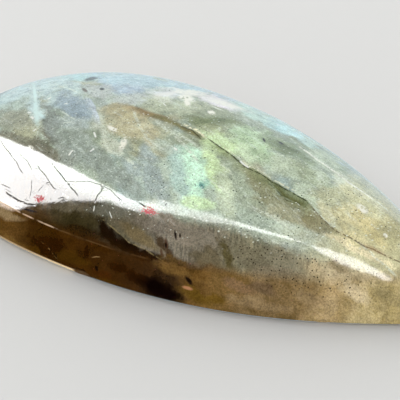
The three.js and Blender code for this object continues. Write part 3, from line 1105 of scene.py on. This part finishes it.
# White flecks in the stone; the three at (28, 147), (121, 144) and (363, 209) are painted glints
WHITE_FLECKS_AND_PAINTED_GLINTS = [(28, 147, 32, 148, 2), (121, 148, 124, 141, 3), (360, 207, 365, 211, 3.2),
               (385, 235, 386, 236, 1.5), (183, 97, 191, 99, 3.4), (186, 101, 188, 104, 2.6),
               (210, 112, 213, 113, 2), (109, 127, 116, 130, 2), (176, 91, 202, 93, 2.6),
               (212, 100, 238, 108, 2.2)]
CROWN_STRIP = [(158, 95, 178, 92, 2), (178, 92, 204, 95, 2.4), (206, 98, 240, 109, 2.4)]
RED_SPOTS = [(39, 198.5, 42, 198.5, 3.8), (145, 210.5, 154, 212, 4)]
# Where the red turns paler, where the painted highlight on the crease ends, and where the painted rim of
# light along the back's edge ends and grows, in pixels across
RED_TURNS_PALE = (60, 120)
PAINTED_CREASE_HIGHLIGHT_ENDS = (62, 52)
PAINTED_EDGE_LIGHT_ENDS = (76, 71)
PAINTED_EDGE_LIGHT_GROWS = (14, 66)


def inclusions(colour):
    """Single marks in the stone: smoky and rusty spots, the cyan streak, and white flecks, three of them
    painted glints.
    """
    crisp = {"soft": 0.45, "view": finish.exact}
    marked = cloud(colour, (240, 240, 232), 0.85, CROWN_STRIP, soft=0.8, view=finish.exact)
    marked = cloud(marked, (52, 50, 48), 0.95, SMOKE, **crisp)
    marked = cloud(marked, (84, 58, 40), 0.8, RUSTY_SMOKE, **crisp)
    marked = cloud(marked, (24, 12, 6), 0.95, PITS, **crisp)
    marked = cloud(marked, (196, 140, 100), 0.8, PIT_RIM, **crisp)
    marked = cloud(marked, (220, 246, 242), 0.9, CYAN_STREAK, soft=0.7, view=finish.exact)
    marked = cloud(marked, (250, 250, 236), 0.95, WHITE_FLECKS_AND_PAINTED_GLINTS, crumbly=True, **crisp)
    marked = cloud(marked, (156, 124, 90), 0.5, RUSTY_LINE, soft=0.9, view=finish.exact)
    marked = tinted(marked, (250, 252, 244), line_cover("white_stroke", 0.12, 0.1, 0), 0.9)
    return finish.mix(finish.near, colour, marked)


def red_cover():
    """The two specks of red iron oxide, crumbly at their rims."""
    cover = finish.times(spots_cover(RED_SPOTS, soft=0.9, view=finish.exact), finish.near)
    dots = finish.noise(finish.place, 12, detail=1)
    return finish.step(finish.math("ADD", finish.times(cover, 0.44), dots), 0.76, 0.88)


def crease_and_painted_edge_light(colour):
    """A brown line and a painted highlight along the crease, and painted sheen and a painted rim of light at
    the back's edge.
    """
    across = finish.stored("across")
    off_crease = finish.math("ABSOLUTE", finish.math("SUBTRACT", finish.height, GIRDLE_HEIGHT / MM))
    line = finish.times(finish.step(off_crease, 0.06, 0.01), finish.step(finish.mottle, 0.36, 0.6))
    colour = tinted(colour, (130, 102, 66), line, finish.step(finish.along, 7, 1, 0, 0.3))
    # Painted highlight: the pale line where the crease catches the light
    colour = tinted(colour, (226, 196, 166), line, finish.step(across, *PAINTED_CREASE_HIGHLIGHT_ENDS), 0.8)
    # Painted sheen: a faint pale tint on the back's bevel
    low, patchy = finish.step(finish.height, 0.34, 0.16), finish.step(finish.mottle, 0.34, 0.5)
    colour = tinted(colour, (220, 190, 146), low, patchy, 0.12)
    # Painted rim of light along the edge of the back, at the round end
    lit = finish.times(finish.step(finish.height, 0.42, 0.34), finish.step(across, *PAINTED_EDGE_LIGHT_ENDS))
    return tinted(colour, (250, 222, 176), lit, finish.step(across, *PAINTED_EDGE_LIGHT_GROWS, 0.5, 1))


def stone_colour():
    """The colour of the stone, layer on layer, from the feldspar to its single marks."""
    colour = ground_colour()
    colour = clouds(colour, DOME_CLOUDS)
    colour = clouds(colour, SKYLINE_CLOUDS_WITH_PAINTED_REFLECTION)
    colour = lower_dome(colour)
    colour = clouds(colour, LOWER_CLOUDS)
    colour = girdle(colour)
    colour = clouds(colour, GIRDLE_CLOUDS)
    colour = veils(colour)
    colour = fibres(colour)
    colour = cleavages(colour)
    colour = lower_cleavages(colour)
    colour = far_side(colour)
    colour = finish.tone(colour, finish.step(finish.mottle, 0.28, 0.72), (0.8, 0.8, 0.79), (1.2, 1.2, 1.21))
    colour = finish.tone(colour, finish.step(finish.grain, 0.3, 0.7), (0.76, 0.76, 0.75), (1.28, 1.28, 1.29))
    colour = specks(colour)
    colour = inclusions(colour)
    return crease_and_painted_edge_light(colour)


def polish(cracks, red):
    """A glossy polish by hand, finely scratched. The back is duller, and cracks and red specks are rough."""
    shader = finish.shader
    scuffed = finish.math("MAXIMUM", cracks, red)
    gloss = finish.step(finish.mottle, 0.3, 0.7, 0.04, 0.1)
    back = finish.step(finish.height, 0.06, 0.02)
    gloss = finish.math("MAXIMUM", gloss, finish.times(back, 0.42))
    finish.feed(shader.inputs["Roughness"], finish.math("MAXIMUM", gloss, finish.times(scuffed, 0.95)))
    shader.inputs["IOR"].default_value = 1.57
    shader.inputs["Subsurface Weight"].default_value = 0.25
    shader.inputs["Subsurface Radius"].default_value = (1, 0.8, 0.45)
    shader.inputs["Subsurface Scale"].default_value = 0.9 * MM
    stretched = finish.turned(finish.place, (0, 0, 0), (0, 0, 0.7), (2.5, 0.1, 0.4))
    scratches = finish.noise(stretched, 1, detail=3)
    relief = finish.math("SUBTRACT", finish.times(scratches, 0.05), cracks)
    bump = finish.add("ShaderNodeBump", {"Height": relief, "Distance": 0.02 * MM, "Strength": 1})
    finish.feed(shader.inputs["Normal"], bump)


def labradorite():
    red = red_cover()
    turns_pale = finish.step(finish.stored("across"), *RED_TURNS_PALE)
    red_colour = tinted(seen(196, 28, 46), (206, 76, 86), turns_pale)
    colour = finish.mix(finish.times(red, 0.92), stone_colour(), red_colour)
    # The cracks reach the polished surface and break its shine
    cracks = line_cover("crack", 0.3, 0.12, 0.05)
    colour = tinted(colour, (30, 26, 18), cracks, 0.95)
    finish.feed(finish.shader.inputs["Base Color"], colour)
    polish(cracks, red)
    return finish.owner


stone.data.materials.clear()
stone.data.materials.append(labradorite())
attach(stone, "root")
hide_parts("cabochon")


# The studio
def make_floor():
    bpy.ops.object.select_all(action="DESELECT")
    bpy.ops.mesh.primitive_plane_add(size=3)
    floor = bpy.context.object
    floor.name = "pale_floor"
    paint = Finish(bpy.data.materials.new("pale_floor"))
    paint.shader.inputs["Base Color"].default_value = shade(190, 190, 188)
    paint.shader.inputs["Roughness"].default_value = 0.8
    floor.data.materials.append(paint.owner)
    floor.visible_glossy = False


def soft_light(name, place, turn, size, radiance, shape="RECTANGLE"):
    """A flat light with its middle at a place. Unturned, it shines straight down."""
    bpy.ops.object.light_add(type="AREA", location=place, rotation=turn)
    lamp = bpy.context.object
    lamp.name = name
    lamp.data.shape = shape
    lamp.data.size, lamp.data.size_y = size
    lamp.data.energy = radiance * math.pi * size[0] * size[1]
    return lamp


def window_light():
    """A tall window to the left of the stone, which the dome mirrors as the wide highlight."""
    turn, distance = math.radians(-22), 0.6
    near_side, far_side, bottom, top = 0.42 * distance, 5 * distance, 0.28 * distance, 2.28 * distance
    ahead = Vector((math.sin(turn), -math.cos(turn), 0))
    leftward = Vector((-math.cos(turn), -math.sin(turn), 0))
    place = ahead * distance + leftward * (near_side + far_side) / 2 + Vector((0, 0, (bottom + top) / 2))
    return soft_light("window", place, (math.pi / 2, 0, turn), (far_side - near_side, top - bottom), 16)


def overhead_light(name, x, y, length, width, turn, radiance):
    """A long narrow light overhead. Its place and size are given for a height of 1 metre."""
    height = 0.5
    place = Vector((x, y, 1)) * height
    size = (length * height, width * height)
    return soft_light(name, place, (0, 0, math.radians(turn)), size, radiance, shape="ELLIPSE")


def soft_box(name, place, radiance):
    """A wide light that faces the stone, without being mirrored in it."""
    place = Vector(place)
    lamp = soft_light(name, place, place.to_track_quat("Z", "Y").to_euler(), (1.1, 1.1), radiance)
    lamp.visible_glossy = False


def make_surroundings():
    """Pale surroundings. The stone mirrors a pale blue sky low behind it, and darkness elsewhere."""
    sky = Finish(bpy.data.worlds.new("studio"), "Background")
    seen_ray, mirrored_ray = (sky.add("ShaderNodeLightPath", {}, output=number) for number in (0, 3))
    direction = sky.add("ShaderNodeTexCoord", {}, output=0)
    towards_sky = sky.share_along(direction, (0, 0, 0), SKY_DIRECTION, 1)
    mirrored = sky.times(sky.step(towards_sky, 0.35, 0.95, 0, 0.8), mirrored_ray)
    sky.feed(sky.shader.inputs["Strength"], sky.math("ADD", mirrored, sky.times(seen_ray, 0.65)))
    sky.shader.inputs["Color"].default_value = (0.8, 0.95, 1, 1)
    bpy.context.scene.world = sky.owner


# The soft boxes round the stone, which light it evenly: place and radiance
SOFT_BOXES = {
    "front": ((0.25, -0.85, 0.5), 3.8),
    "back": ((-0.1, 0.75, 0.55), 2),
    "low_back": ((-0.4, 0.85, 0.35), 1.65),
    "left": ((-0.85, 0, 0.5), 1.25),
    "right": ((0.85, 0.2, 0.5), 1),
}
SKY_DIRECTION = (-0.51, 0.84, -0.15)

make_floor()
mirrored = [
    window_light(),
    overhead_light("strip_left_of_the_middle", -0.3, -0.385, 0.34, 0.13, 38, 9.5),
    overhead_light("strip_over_the_middle", -0.12, -0.235, 0.4, 0.13, 24, 5),
    overhead_light("bright_edge", 0.03, -0.165, 0.54, 0.05, 9.3, 9),
    overhead_light("strip_over_the_tip", 0.75, -0.299, 0.89, 0.095, -24.5, 8),
]
for lamp in mirrored:
    lamp.visible_diffuse = False
for box_name, (box_place, box_radiance) in SOFT_BOXES.items():
    soft_box(box_name, box_place, box_radiance)
make_surroundings()
bpy.context.scene.view_settings.view_transform = "Standard"
